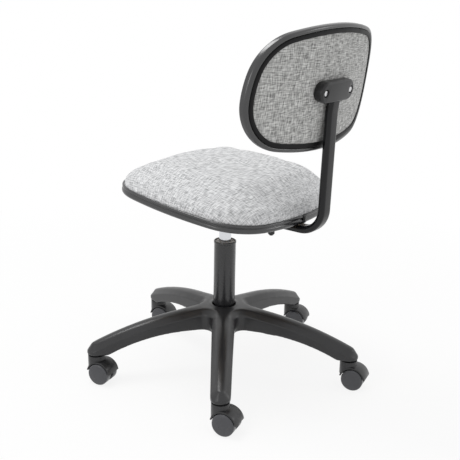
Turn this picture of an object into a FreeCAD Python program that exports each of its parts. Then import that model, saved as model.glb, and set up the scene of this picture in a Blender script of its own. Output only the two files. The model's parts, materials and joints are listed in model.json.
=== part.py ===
import FreeCAD, Part
import math
import os
import re

import Sketcher
from FreeCAD import Placement, Rotation, Vector

# Typist chair on a five-star base. Millimetres, +Z up, origin on the floor on the column's axis.
# The chair faces -Y, and the sitter's left is +X.

SIZES = (
    # fits
    ("fit_gap", 0.05),
    ("seat_gap", 0.1),
    ("soft_gap", 0.3),
    # five-star base
    ("arm_count", 5),
    ("arm_turn", 37.3),
    ("caster_circle", 302),
    ("hub_top", 159.5),
    ("hub_bottom", 102.5),
    ("hub_skirt", 36),
    ("hub_flare", 6),
    ("hub_ring_in", 27.5),
    ("hub_ring_out", 31),
    ("hub_lip", 0.6),
    ("hub_recess", 6),
    ("tip_top", 97.5),
    ("tip_flat", 23),
    ("under_flat", 100),
    ("arm_under_top", 107.5),
    ("arm_socket_floor", 67.5),
    ("tip_radius", 21.3),
    ("tip_spare", 5),
    ("crotch_reach", 82),
    ("crotch_radius", 22),
    ("arm_edge", 12),
    ("arm_wall", 6),
    ("arm_roof", 9.5),
    ("arm_rib", 3),
    ("cell_start", 68),
    ("cell_end", 14),
    ("cell_count", 4),
    # casters
    ("stem_radius", 5.5),
    ("stem_socket", 22),
    ("stem_foot", 51),
    ("caster_trail", 15),
    ("caster_turn", 13),
    ("wheel_radius", 25),
    ("wheel_width", 17),
    ("wheel_dome", 1.5),
    ("wheel_boss", 9),
    ("wheel_bevel", 2.5),
    ("wheel_gap", 0.6),
    ("wheel_blind", 12),
    ("axle_radius", 3),
    ("hood_gap", 1.8),
    ("hood_wall", 3.2),
    ("hood_width", 40),
    ("hood_web", 10),
    ("hood_rear_angle", -8),
    ("hood_front_angle", 12),
    ("hood_boss", 8),
    ("neck_radius", 19.5),
    ("neck_gap", 2.2),
    ("neck_foot", 33),
    # gas lift
    ("column_radius", 25),
    ("column_wall", 2),
    ("column_bottom", 100),
    ("column_plate", 4),
    ("column_top", 314.5),
    ("column_bead", 0.8),
    ("column_bead_height", 6),
    ("bush_length", 110),
    ("bush_drop", 1.5),
    ("lift_radius", 14),
    ("lift_wall", 2.5),
    ("lift_bottom", 164),
    ("lift_shoulder", 342),
    ("lift_top", 396.5),
    ("lift_taper", 0.8),
    ("lift_cap", 18),
    ("gland_length", 12),
    ("rod_radius", 5),
    ("rod_end_radius", 4),
    ("rod_shoulder", 112),
    ("rod_tail", 5),
    ("piston_top", 293),
    ("piston_length", 12),
    ("bearing_radius", 10),
    ("washer_thick", 2),
    ("buffer_radius", 11),
    ("buffer_length", 10),
    ("clip_thick", 1.5),
    ("clip_radius", 7),
    ("clip_groove", 3.2),
    ("pin_radius", 3),
    ("pin_rise", 8),
    ("pin_drop_room", 3),
    # seat
    ("seat_height", 418.8),
    ("seat_tilt", 6),
    ("seat_half", 203),
    ("seat_front", 196),
    ("seat_rear", 213),
    ("seat_side_at", 0),
    ("seat_front_arc", 700),
    ("seat_rear_arc", 480),
    ("seat_side_arc", 750),
    ("seat_front_corner", 86),
    ("seat_rear_corner", 110),
    ("trim_height", 20),
    ("trim_wall", 5),
    ("trim_lip", 14),
    ("trim_lip_thick", 2),
    ("trim_groove", 1.8),
    ("trim_groove_at", 9),
    ("trim_groove_width", 2.5),
    ("trim_round", 2),
    ("board_thick", 11.8),
    ("cushion_rise", 61.5),
    ("cushion_wedge", 3.5),
    # seat fixing
    ("plate_width", 170),
    ("plate_front", 105),
    ("plate_rear", 120),
    ("plate_thick", 3),
    ("plate_corner", 18),
    ("bolt_x", 65),
    ("bolt_front", 85),
    ("bolt_rear", 95),
    ("bolt_radius", 3),
    ("bolt_head", 5.8),
    ("bolt_head_height", 4),
    ("insert_radius", 4.5),
    # mechanism
    ("tray_width", 74),
    ("tray_wall", 2.5),
    ("ear_at", 9),
    ("ear_rise", 5),
    ("tray_front", 62),
    ("tray_rear", 138),
    ("cone_radius", 19),
    ("cone_bottom", 346.5),
    ("lever_radius", 4),
    ("lever_pivot", 22),
    ("lever_inner", 7),
    ("lever_bend", 14),
    ("lever_shoulder", 42),
    ("lever_foot", 78),
    ("lever_drop", 22),
    ("lever_reach", 196),
    ("grip_length", 58),
    ("grip_width", 26),
    ("grip_thick", 11),
    ("grip_grasp", 40),
    ("pivot_radius", 2.5),
    ("lever_slot", 9),
    ("socket_wall", 2.5),
    ("socket_gap", 0.25),
    ("socket_front", 40),
    ("socket_rear", 150),
    ("knob_at", 128),
    ("knob_radius", 7.5),
    ("knob_height", 19),
    ("knob_round", 4),
    ("screw_radius", 3),
    # back bar
    ("bar_width", 34),
    ("bar_thick", 16),
    ("bar_wall", 2),
    ("bar_run", 385.5),
    ("bar_front", 62),
    ("bar_back", 257.5),
    ("bar_bend", 50),
    ("bar_seat_length", 45),
    ("bar_top", 12),
    # backrest
    ("back_depth", 260),
    ("back_height", 684.5),
    ("back_lean", 8),
    ("back_curve", 550),
    ("back_half", 222),
    ("back_low", 124),
    ("back_high", 129.5),
    ("back_side_at", -16),
    ("back_low_arc", 968),
    ("back_high_arc", 620),
    ("back_side_arc", 218),
    ("back_low_corner", 98),
    ("back_high_corner", 105),
    ("panel_thick", 3),
    ("back_board_thick", 7),
    ("back_cushion_thick", 33),
    ("back_cushion_edge", 12),
    ("back_trim_wall", 8),
    ("back_trim_front", 13.5),
    ("back_trim_rear", 3),
    ("back_lip", 18),
    ("back_front_lip", 14),
    ("back_front_lip_thick", 2.6),
    ("back_bead", 2.5),
    ("back_step", 1.2),
    # back bracket
    ("bracket_width", 120),
    ("bracket_height", 42),
    ("bracket_wall", 2.2),
    ("bracket_plate", 2),
    ("bracket_round", 3),
    ("bracket_bolt_x", 46),
    ("bracket_recess", 8),
    ("bracket_recess_floor", 13),
    ("bracket_bolt_head", 6),
    ("bracket_bolt_height", 4.5),
)

doc = FreeCAD.newDocument("typist_chair")
sheet = doc.addObject("Spreadsheet::Sheet", "Size")
for row, (alias, value) in enumerate(SIZES, start=1):
    sheet.set(f"A{row}", alias)
    sheet.set(f"B{row}", str(value))
    sheet.setAlias(f"B{row}", alias)
doc.recompute()

NAMES = {alias for alias, value in SIZES}
nodes = []


def bind(expression):
    """The expression with each size written as a cell of the sheet."""
    def cell(match):
        word = match.group(0)
        return f"Size.{word}" if word in NAMES else word
    return re.sub(r"[A-Za-z_][A-Za-z_0-9]*", cell, expression)


def num(expression):
    """The present value of an expression."""
    value = sheet.evalExpression(bind(expression))
    return float(getattr(value, "Value", value))


def new_body(label, at=("0", "0", "0"), turn=None):
    """A body at a place given by expressions; turn is an axis and an angle."""
    body = doc.addObject("PartDesign::Body", label)
    body.Label = label
    if turn:
        body.Placement = Placement(Vector(0, 0, 0), Rotation(turn[0], num(turn[1])))
        body.setExpression("Placement.Rotation.Angle", bind(turn[1]))
    for letter, expression in zip("xyz", at):
        if expression != "0":
            body.setExpression(f"Placement.Base.{letter}", bind(expression))
    return body


def keep(sub_part):
    """Lists a finished sub-part for writing out."""
    nodes.append(sub_part)
    return sub_part


def origin_part(body, role):
    return [part for part in body.Origin.OriginFeatures if part.Role == role][0]


def new_sketch(body, plane, name, lift="0"):
    """A sketch on one of the body's own planes, lifted along the plane's normal."""
    sketch = body.newObject("Sketcher::SketchObject", name)
    sketch.AttachmentSupport = [(origin_part(body, plane), "")]
    sketch.MapMode = "FlatFace"
    if lift != "0":
        sketch.setExpression("AttachmentOffset.Base.z", bind(lift))
    return sketch


def fix_size(sketch, constraint, expression):
    index = sketch.addConstraint(constraint)
    sketch.setExpression(f"Constraints[{index}]", bind(expression))


def fix_point(sketch, geometry, end, x, y):
    """Ties a point of a sketch to its two coordinates."""
    for kind, axis, expression in (("DistanceX", -2, x), ("DistanceY", -1, y)):
        if expression == "0":
            sketch.addConstraint(Sketcher.Constraint("PointOnObject", geometry, end, axis))
        else:
            rule = Sketcher.Constraint(kind, -1, 1, geometry, end, num(expression))
            fix_size(sketch, rule, expression)


def arc_between(start, end, radius, turn):
    """Arc of under a half circle; turn is 1 for anticlockwise travel and -1 for clockwise."""
    chord = end - start
    side = Vector(-chord.y, chord.x, 0).normalize()
    rise = math.sqrt(radius ** 2 - (chord.Length / 2) ** 2)
    centre = (start + end) * 0.5 + side * (turn * rise)
    first, last = (start, end) if turn > 0 else (end, start)
    angles = [math.atan2(p.y - centre.y, p.x - centre.x) for p in (first, last)]
    if angles[1] < angles[0]:
        angles[1] += 2 * math.pi
    return Part.ArcOfCircle(Part.Circle(centre, Vector(0, 0, 1), radius), *angles)


def add_outline(sketch, corners):
    """Closed outline through corners (x, y). A corner (x, y, radius, turn) starts an arc."""
    points = [Vector(num(corner[0]), num(corner[1]), 0) for corner in corners]
    ends = []
    for place, corner in enumerate(corners):
        start, stop = points[place], points[(place + 1) % len(points)]
        if len(corner) == 2:
            index = sketch.addGeometry(Part.LineSegment(start, stop), False)
            ends.append((index, 1, 2))
            continue
        radius, turn = corner[2], corner[3]
        index = sketch.addGeometry(arc_between(start, stop, num(radius), turn), False)
        ends.append((index, 1, 2) if turn > 0 else (index, 2, 1))
        fix_size(sketch, Sketcher.Constraint("Radius", index, num(radius)), radius)
    for place, corner in enumerate(corners):
        before, here = ends[place - 1], ends[place]
        sketch.addConstraint(Sketcher.Constraint("Coincident", before[0], before[2], here[0], here[1]))
        fix_point(sketch, here[0], here[1], corner[0], corner[1])


def add_circle(sketch, x, y, radius):
    circle = Part.Circle(Vector(num(x), num(y), 0), Vector(0, 0, 1), num(radius))
    index = sketch.addGeometry(circle, False)
    fix_size(sketch, Sketcher.Constraint("Radius", index, num(radius)), radius)
    fix_point(sketch, index, 3, x, y)


def add_box(sketch, x_low, y_low, x_high, y_high):
    add_outline(sketch, [(x_low, y_low), (x_high, y_low), (x_high, y_high), (x_low, y_high)])


def add_stadium(sketch, width, height, y="0", inset="0"):
    """Flat oval, longer along x, centred on x = 0."""
    radius = f"(({height}) / 2 - ({inset}))"
    reach = f"(({width}) - ({height})) / 2"
    low, high = f"({y}) - {radius}", f"({y}) + {radius}"
    add_outline(sketch, [
        (f"-({reach})", low), (reach, low, radius, 1),
        (f"({reach}) + {radius}", y, radius, 1),
        (reach, high), (f"-({reach})", high, radius, 1),
        (f"-({reach}) - {radius}", y, radius, 1),
    ])


def soft_centres(name, low, high):
    """Arc centres and radii of the soft four-sided outline of the seat or the backrest."""
    half, side_at = num(f"{name}_half"), num(f"{name}_side_at")
    low_arc, high_arc = num(f"{name}_{low}_arc"), num(f"{name}_{high}_arc")
    side_arc = num(f"{name}_side_arc")
    side = Vector(half - side_arc, side_at, 0)
    bottom = Vector(0, low_arc - num(f"{name}_{low}"), 0)
    top = Vector(0, num(f"{name}_{high}") - high_arc, 0)
    corners = []
    for end, arc, corner, sign in (
        (bottom, low_arc, num(f"{name}_{low}_corner"), -1),
        (top, high_arc, num(f"{name}_{high}_corner"), 1),
    ):
        axis = side - end
        from_end, from_side = arc - corner, side_arc - corner
        along = (from_end ** 2 - from_side ** 2 + axis.Length ** 2) / (2 * axis.Length)
        across = math.sqrt(from_end ** 2 - along ** 2)
        unit = axis * (1 / axis.Length)
        normal = Vector(-unit.y, unit.x, 0)
        choices = [end + unit * along + normal * (step * across) for step in (1, -1)]
        corners.append((max(choices, key=lambda p: p.x + sign * p.y), corner))
    return (bottom, low_arc), corners[0], (side, side_arc), corners[1], (top, high_arc)


def soft_arcs(name, low, high):
    """The eight tangent arcs, anticlockwise from the low side: centre, radius, two angles."""
    bottom, right_low, right, right_high, top = soft_centres(name, low, high)

    def angle(arc, corner):
        ray = corner[0] - arc[0]
        return math.atan2(ray.y, ray.x)

    a_low, b_low = angle(bottom, right_low), angle(right, right_low)
    b_high, a_high = angle(right, right_high), angle(top, right_high)
    half_turn = math.pi

    def mirrored(arc):
        return Vector(-arc[0].x, arc[0].y, 0), arc[1]

    return (
        (bottom, -half_turn - a_low, a_low),
        (right_low, a_low, b_low),
        (right, b_low, b_high),
        (right_high, b_high, a_high),
        (top, a_high, half_turn - a_high),
        (mirrored(right_high), half_turn - a_high, half_turn - b_high),
        (mirrored(right), half_turn - b_high, half_turn - b_low),
        (mirrored(right_low), half_turn - b_low, half_turn - a_low),
    )


def add_soft_outline(sketch, name, low, high, inset="0", share="1"):
    """The soft outline drawn in by inset and then scaled by share, as eight tangent arcs."""
    drawn_in, scale = num(inset), num(share)
    sides = (low, f"{low}_corner", "side", f"{high}_corner",
             high, f"{high}_corner", "side", f"{low}_corner")
    first = sketch.GeometryCount
    for (centre, radius), start, stop in soft_arcs(name, low, high):
        circle = Part.Circle(centre * scale, Vector(0, 0, 1), (radius - drawn_in) * scale)
        sketch.addGeometry(Part.ArcOfCircle(circle, start, stop), False)
    for place in range(8):
        here, after = first + place, first + (place + 1) % 8
        sketch.addConstraint(Sketcher.Constraint("Tangent", here, 2, after, 1))
    for place, side in enumerate(sides):
        size = f"{name}_{side}" if side.endswith("corner") else f"{name}_{side}_arc"
        radius = f"({size} - ({inset})) * ({share})"
        rule = Sketcher.Constraint("Radius", first + place, num(radius))
        fix_size(sketch, rule, radius)
    fix_point(sketch, first, 3, "0", f"({name}_{low}_arc - {name}_{low}) * ({share})")
    fix_point(sketch, first + 4, 3, "0", f"({name}_{high} - {name}_{high}_arc) * ({share})")
    reach = f"({name}_half - {name}_side_arc) * ({share})"
    level = f"{name}_side_at * ({share})"
    fix_point(sketch, first + 2, 3, reach, level)
    fix_point(sketch, first + 6, 3, f"-({reach})", level)


def pad(body, sketch, length, both_sides=False, downward=False):
    feature = body.newObject("PartDesign::Pad", f"{sketch.Name}_pad")
    feature.Profile = sketch
    feature.setExpression("Length", bind(length))
    feature.SideType = "Symmetric" if both_sides else "One side"
    feature.Reversed = downward
    sketch.Visibility = False
    return feature


def pocket(body, sketch, length=None, both_sides=False, forward=False):
    """A cut against the sketch's normal, or along it when forward; no length cuts through all."""
    feature = body.newObject("PartDesign::Pocket", f"{sketch.Name}_cut")
    feature.Profile = sketch
    if length is None:
        feature.Type = "ThroughAll"
    else:
        feature.setExpression("Length", bind(length))
    feature.SideType = "Symmetric" if both_sides else "One side"
    feature.Reversed = forward
    return feature


def revolve(body, sketch, axis="V_Axis"):
    feature = body.newObject("PartDesign::Revolution", f"{sketch.Name}_turn")
    feature.Profile = sketch
    feature.ReferenceAxis = (sketch, [axis])
    feature.Angle = 360
    return feature


def polar(body, originals, count):
    feature = body.newObject("PartDesign::PolarPattern", f"{body.Name}_pattern")
    feature.Originals = originals
    feature.Axis = (origin_part(body, "Z_Axis"), [""])
    feature.Angle = 360
    feature.setExpression("Occurrences", bind(count))
    body.Tip = feature
    return feature


def bevel(body, size, wanted):
    """Bevels the edges of the body's last feature that the test picks."""
    doc.recompute()
    base = body.Tip
    names = [f"Edge{i}" for i, edge in enumerate(base.Shape.Edges, start=1) if wanted(edge)]
    feature = body.newObject("PartDesign::Chamfer", f"{body.Name}_bevel")
    feature.Base = (base, names)
    feature.setExpression("Size", bind(size))
    return feature


def turned(label, corners, at=("0", "0", "0"), turn=None):
    """A sub-part turned about its own Z axis from an outline in (radius, z)."""
    body = new_body(label, at, turn)
    sketch = new_sketch(body, "XZ_Plane", f"{label}_profile")
    add_outline(sketch, corners)
    revolve(body, sketch)
    return body


def ring(label, r_in, r_out, z_low, z_high, at=("0", "0", "0")):
    return turned(label, [(r_in, z_low), (r_out, z_low), (r_out, z_high), (r_in, z_high)], at)


def mid_point(edge):
    return edge.valueAt((edge.FirstParameter + edge.LastParameter) / 2)


def crown_z(radius, sphere, top):
    """Height of a dome whose centre is on the column's axis."""
    return f"({top}) - ({sphere}) + sqrt(({sphere})^2 - ({radius})^2)"


TIP_FALL = "(hub_top - tip_top)"
ARM_CROWN = f"((caster_circle^2 + {TIP_FALL}^2) / (2 * {TIP_FALL}))"
UNDER_RUN = "(caster_circle - tip_flat - under_flat)"
UNDER_FALL = "(arm_under_top - arm_socket_floor)"
ARM_UNDER = f"(({UNDER_RUN}^2 + {UNDER_FALL}^2) / (2 * {UNDER_FALL}))"


def make_star_base():
    """Five arched arms from one hub: a domed disc, cut to the arms, hollowed from below."""
    bore = "column_radius + fit_gap"
    disc = "caster_circle + tip_radius + tip_spare"
    root = "hub_skirt + hub_flare"
    flat = "caster_circle - tip_flat"
    body = new_body("star", turn=(Vector(0, 0, 1), "arm_turn"))
    side_view = new_sketch(body, "XZ_Plane", "arm_side_view")
    add_outline(side_view, [
        (bore, "hub_bottom"), ("hub_skirt", "hub_bottom"),
        (root, "arm_under_top"), ("under_flat", "arm_under_top", ARM_UNDER, -1),
        (flat, "arm_socket_floor"), (disc, "arm_socket_floor"),
        (disc, crown_z(disc, ARM_CROWN, "hub_top"), ARM_CROWN, 1),
        ("hub_ring_out", crown_z("hub_ring_out", ARM_CROWN, "hub_top")),
        ("hub_ring_out", "hub_top + hub_lip"), ("hub_ring_in", "hub_top + hub_lip"),
        ("hub_ring_in", "hub_top - hub_recess"), (bore, "hub_top - hub_recess"),
    ])
    revolve(body, side_view)
    gap = pocket(body, arm_gap_sketch(body), both_sides=True)
    stem_hole = new_sketch(body, "XY_Plane", "stem_hole", "arm_socket_floor")
    add_circle(stem_hole, "caster_circle", "0", "stem_radius + fit_gap")
    hole = pocket(body, stem_hole, "stem_socket", forward=True)
    polar(body, [gap, hole], "arm_count")

    def shoulder(edge):
        """Upper edges along the arms' sides, round the tips and in the crotches."""
        middle = mid_point(edge)
        radius = math.hypot(middle.x, middle.y)
        dome = num(f"hub_top - {ARM_CROWN}") + math.sqrt(num(ARM_CROWN) ** 2 - radius ** 2)
        upright = any(abs(vertex.Z - dome) > num("hub_top") for vertex in edge.Vertexes)
        return radius > num("hub_ring_out") + 1 and abs(middle.z - dome) < 0.5 and not upright

    bevel(body, "arm_edge", shoulder)
    cells = make_arm_cells()
    star_base = doc.addObject("Part::Cut", "star_base")
    star_base.Base = body
    star_base.Tool = cells
    return keep(star_base)


def arm_gap_sketch(body):
    """The space between two arms: tip, side, crotch, side, tip, and out past the disc."""
    sketch = new_sketch(body, "XY_Plane", "arm_gap")
    step, half_step = "(360 / arm_count)", "(180 / arm_count)"
    reach, tip = num("caster_circle"), num("tip_radius")
    step_angle, half_angle = math.radians(num(step)), math.radians(num(half_step))
    far = num("caster_circle + tip_radius + 4 * tip_spare")

    def polar_point(radius, angle):
        return Vector(radius * math.cos(angle), radius * math.sin(angle), 0)

    up = Vector(0, 0, 1)
    tip_a, tip_b = polar_point(reach, 0), polar_point(reach, step_angle)
    crotch = polar_point(num("crotch_reach"), half_angle)
    quarter = math.pi / 2
    arcs = (
        Part.ArcOfCircle(Part.Circle(tip_a, up, tip), 0, quarter),
        Part.ArcOfCircle(Part.Circle(crotch, up, num("crotch_radius")),
                         half_angle + quarter * 1.4, half_angle + quarter * 2.6),
        Part.ArcOfCircle(Part.Circle(tip_b, up, tip), step_angle - quarter, step_angle),
    )
    ends_a = arcs[0].EndPoint, arcs[1].EndPoint
    ends_b = arcs[1].StartPoint, arcs[2].StartPoint
    outside = (arcs[2].EndPoint, polar_point(far, step_angle),
               polar_point(far / math.cos(half_angle), half_angle), polar_point(far, 0),
               arcs[0].StartPoint)
    shapes = [arcs[0], Part.LineSegment(*ends_a), arcs[1], Part.LineSegment(*ends_b), arcs[2]]
    shapes += [Part.LineSegment(*pair) for pair in zip(outside, outside[1:])]
    sketch.addGeometry(shapes, False)
    rule = Sketcher.Constraint
    for joint in ((0, 2, 1, 1), (1, 2, 2, 2), (2, 1, 3, 1), (3, 2, 4, 1)):
        sketch.addConstraint(rule("Tangent", *joint))
    for joint in ((4, 2, 5, 1), (5, 2, 6, 1), (6, 2, 7, 1), (7, 2, 8, 1), (8, 2, 0, 1)):
        sketch.addConstraint(rule("Coincident", *joint))
    for arc, radius in ((0, "tip_radius"), (2, "crotch_radius"), (4, "tip_radius")):
        fix_size(sketch, rule("Radius", arc, num(radius)), radius)
    beyond = "(caster_circle + tip_radius + 4 * tip_spare)"
    corner = f"{beyond} / cos({half_step})"
    fix_point(sketch, 0, 3, "caster_circle", "0")
    fix_point(sketch, 2, 3, f"crotch_reach * cos({half_step})", f"crotch_reach * sin({half_step})")
    fix_point(sketch, 4, 3, f"caster_circle * cos({step})", f"caster_circle * sin({step})")
    sketch.addConstraint(rule("PointOnObject", 0, 1, -1))
    sketch.addConstraint(rule("PointOnObject", 4, 3, 5))
    fix_point(sketch, 5, 2, f"{beyond} * cos({step})", f"{beyond} * sin({step})")
    fix_point(sketch, 6, 2, f"{corner} * cos({half_step})", f"{corner} * sin({half_step})")
    fix_point(sketch, 7, 2, beyond, "0")
    return sketch


def make_arm_cells():
    """Open cells under the arms, with cross ribs between them and an even roof over them."""
    body = new_body("arm_cells", turn=(Vector(0, 0, 1), "arm_turn"))
    plan = new_sketch(body, "XY_Plane", "cell_plan")
    half = "tip_radius - arm_wall"
    run = "(caster_circle - tip_flat - cell_end - cell_start + arm_rib)"
    pitch = f"({run} / cell_count)"
    for place in range(int(num("cell_count"))):
        start = f"cell_start + {place} * {pitch}"
        add_box(plan, start, f"-({half})", f"{start} + {pitch} - arm_rib", half)
    prisms = pad(body, plan, "hub_top")
    polar(body, [prisms], "arm_count")
    dome = doc.addObject("Part::Sphere", "arm_roof_dome")
    dome.setExpression("Radius", bind(f"{ARM_CROWN} - arm_roof"))
    dome.setExpression("Placement.Base.z", bind(f"hub_top - {ARM_CROWN}"))
    cells = doc.addObject("Part::Common", "arm_cells_domed")
    cells.Base = body
    cells.Tool = dome
    return cells


def caster_place(number):
    """Foot of caster number on the floor, under its pin."""
    angle = f"(arm_turn + {number} * 360 / arm_count)"
    return f"caster_circle * cos({angle})", f"caster_circle * sin({angle})", "0"


def make_caster(number):
    """Pin, hood, axle and two wheels. The wheels trail behind the pin."""
    place = caster_place(number)
    wheel_place = (f"{place[0]} - caster_trail * sin(caster_turn)",
                   f"{place[1]} + caster_trail * cos(caster_turn)", "wheel_radius")
    name = f"{number + 1}"
    keep(ring(f"caster_stem_{name}", "0", "stem_radius", "stem_foot",
              "arm_socket_floor + stem_socket - 1", place))
    make_hood(f"caster_hood_{name}", place)
    axle_half = "(hood_web / 2 + wheel_gap + wheel_blind - 1)"
    axle = new_body(f"caster_axle_{name}", wheel_place, (Vector(0, 1, 0), "90"))
    turn_with_caster(axle)
    axle_plan = new_sketch(axle, "XY_Plane", f"axle_plan_{name}")
    add_circle(axle_plan, "0", "0", "axle_radius")
    pad(axle, axle_plan, f"2 * {axle_half}", both_sides=True)
    keep(axle)
    make_wheel(f"caster_wheel_left_{name}", wheel_place, "90")
    make_wheel(f"caster_wheel_right_{name}", wheel_place, "-90")


def turn_with_caster(body):
    """Swings the axis that a wheel or an axle is laid down about, as its caster is swung."""
    body.setExpression("Placement.Rotation.Axis.x", bind("-sin(caster_turn)"))
    body.setExpression("Placement.Rotation.Axis.y", bind("cos(caster_turn)"))


def make_hood(label, place):
    """Mudguard over both wheels, with a web between them and a neck round the pin."""
    body = new_body(label, place, (Vector(0, 0, 1), "caster_turn"))
    outer = "(wheel_radius + hood_gap + hood_wall)"
    rear = (f"caster_trail + {outer} * cos(hood_rear_angle)",
            f"wheel_radius - {outer} * sin(hood_rear_angle)")
    front = (f"caster_trail - {outer} * cos(hood_front_angle)",
             f"wheel_radius + {outer} * sin(hood_front_angle)")
    top = ("caster_trail", f"wheel_radius + {outer}")
    guard = new_sketch(body, "YZ_Plane", f"{label}_guard")
    add_outline(guard, [(*rear, outer, 1), (*top, outer, 1), front])
    pad(body, guard, "hood_width", both_sides=True)
    neck = new_sketch(body, "XY_Plane", f"{label}_neck", "neck_foot")
    add_circle(neck, "0", "0", "neck_radius")
    pad(body, neck, "arm_socket_floor - neck_gap - neck_foot")
    for side, sign in (("left", ""), ("right", "-")):
        lift = f"{sign}(hood_web / 2)"
        well = new_sketch(body, "YZ_Plane", f"{label}_{side}_well", lift)
        add_circle(well, "caster_trail", "wheel_radius", "wheel_radius + hood_gap")
        pocket(body, well, "hood_width", forward=sign == "")
    boss = new_sketch(body, "YZ_Plane", f"{label}_boss")
    add_circle(boss, "caster_trail", "wheel_radius", "hood_boss")
    pad(body, boss, "hood_web", both_sides=True)
    axle_hole = new_sketch(body, "YZ_Plane", f"{label}_axle_hole")
    add_circle(axle_hole, "caster_trail", "wheel_radius", "axle_radius + fit_gap")
    pocket(body, axle_hole, both_sides=True)
    stem_hole = new_sketch(body, "XY_Plane", f"{label}_stem_hole", "arm_socket_floor")
    add_circle(stem_hole, "0", "0", "stem_radius + fit_gap")
    pocket(body, stem_hole, "arm_socket_floor - stem_foot + seat_gap")
    keep(body)


def make_wheel(label, place, quarter):
    """A wheel with a bevelled, slightly domed outer face and a blind hole for the axle."""
    inner = "(hood_web / 2 + wheel_gap)"
    face = f"({inner} + wheel_width)"
    blind = f"({inner} + wheel_blind)"
    wheel = turned(label, [
        ("0", blind), ("axle_radius + fit_gap", blind), ("axle_radius + fit_gap", inner),
        ("wheel_radius", inner), ("wheel_radius", f"{face} - wheel_bevel"),
        ("wheel_radius - wheel_bevel", face), ("wheel_boss", f"{face} + wheel_dome"),
        ("0", f"{face} + wheel_dome"),
    ], place, (Vector(0, 1, 0), quarter))
    turn_with_caster(wheel)
    keep(wheel)


def make_gas_lift():
    """Outer column with its guide bush, and the gas cylinder that slides and turns in it."""
    inner = "column_radius - column_wall"
    plate_top = "column_bottom + column_plate"
    keep(turned("column_tube", [
        ("rod_end_radius + fit_gap", "column_bottom"), ("column_radius - 1", "column_bottom"),
        ("column_radius", "column_bottom + 1"),
        ("column_radius", "column_top - column_bead_height"),
        ("column_radius + column_bead", "column_top - column_bead_height + 1"),
        ("column_radius + column_bead", "column_top - 1"), ("column_radius", "column_top"),
        (inner, "column_top"), (inner, plate_top), ("rod_end_radius + fit_gap", plate_top),
    ]))
    bush_top = "(column_top - bush_drop)"
    keep(ring("guide_bush", "lift_radius + fit_gap", f"{inner} - fit_gap",
              f"{bush_top} - bush_length", bush_top))
    bore = "lift_radius - lift_wall"
    slim = "lift_radius - lift_taper"
    keep(turned("gas_cylinder", [
        (bore, "lift_bottom"), ("lift_radius", "lift_bottom"), ("lift_radius", "lift_shoulder"),
        (slim, "lift_top"), ("pin_radius + fit_gap", "lift_top"),
        ("pin_radius + fit_gap", "lift_top - lift_cap"), (bore, "lift_top - lift_cap"),
    ]))
    keep(ring("cylinder_gland", "rod_radius + fit_gap", f"{bore} - fit_gap",
              "lift_bottom", "lift_bottom + gland_length"))
    washer = f"({plate_top} + fit_gap)"
    clip_top = "(column_bottom - seat_gap)"
    groove_top = f"({clip_top} + fit_gap)"
    groove_low = f"({clip_top} - clip_thick - fit_gap)"
    keep(turned("piston_rod", [
        ("0", f"{groove_low} - rod_tail"), ("rod_end_radius", f"{groove_low} - rod_tail"),
        ("rod_end_radius", groove_low), ("clip_groove", groove_low),
        ("clip_groove", groove_top), ("rod_end_radius", groove_top),
        ("rod_end_radius", "rod_shoulder"), ("rod_radius", "rod_shoulder"),
        ("rod_radius", "piston_top"), ("0", "piston_top"),
    ]))
    keep(ring("piston_head", "rod_radius + fit_gap", f"{bore} - seat_gap",
              "piston_top - piston_length", "piston_top"))
    keep(ring("retaining_clip", "clip_groove + fit_gap", "clip_radius",
              f"{clip_top} - clip_thick", clip_top))
    bearing_bore = "rod_end_radius + seat_gap"
    upper = "(rod_shoulder - fit_gap)"
    keep(ring("bearing_washer_lower", bearing_bore, "bearing_radius", washer, f"{washer} + washer_thick"))
    keep(ring("bearing_washer_upper", bearing_bore, "bearing_radius", f"{upper} - washer_thick", upper))
    keep(ring("thrust_ring", "rod_end_radius + 2 * seat_gap", "bearing_radius - seat_gap",
              f"{washer} + washer_thick + fit_gap", f"{upper} - washer_thick - fit_gap"))
    keep(ring("rubber_buffer", "rod_radius + fit_gap", "buffer_radius",
              "rod_shoulder + fit_gap", "rod_shoulder + buffer_length"))
    keep(ring("valve_pin", "0", "pin_radius", "lift_top - lift_cap + pin_drop_room", "lift_top + pin_rise"))


SEAT_TILT = (Vector(-1, 0, 0), "seat_tilt")
SEAT_PLACE = ("0", "0", "seat_height")
BOARD_LOW = "(trim_lip_thick + seat_gap)"
BOARD_HIGH = "(trim_lip_thick + seat_gap + board_thick)"
PLATE_HIGH = "(trim_lip_thick)"
SEAT_BOLTS = [(f"{side}bolt_x", end) for side in ("", "-") for end in ("-bolt_front", "bolt_rear")]


def under_plate(y):
    """Height of the seat plate's underside at depth y, which falls to the rear with the seat."""
    return f"(seat_height + (trim_lip_thick - plate_thick) / cos(seat_tilt) - tan(seat_tilt) * ({y}))"


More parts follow.
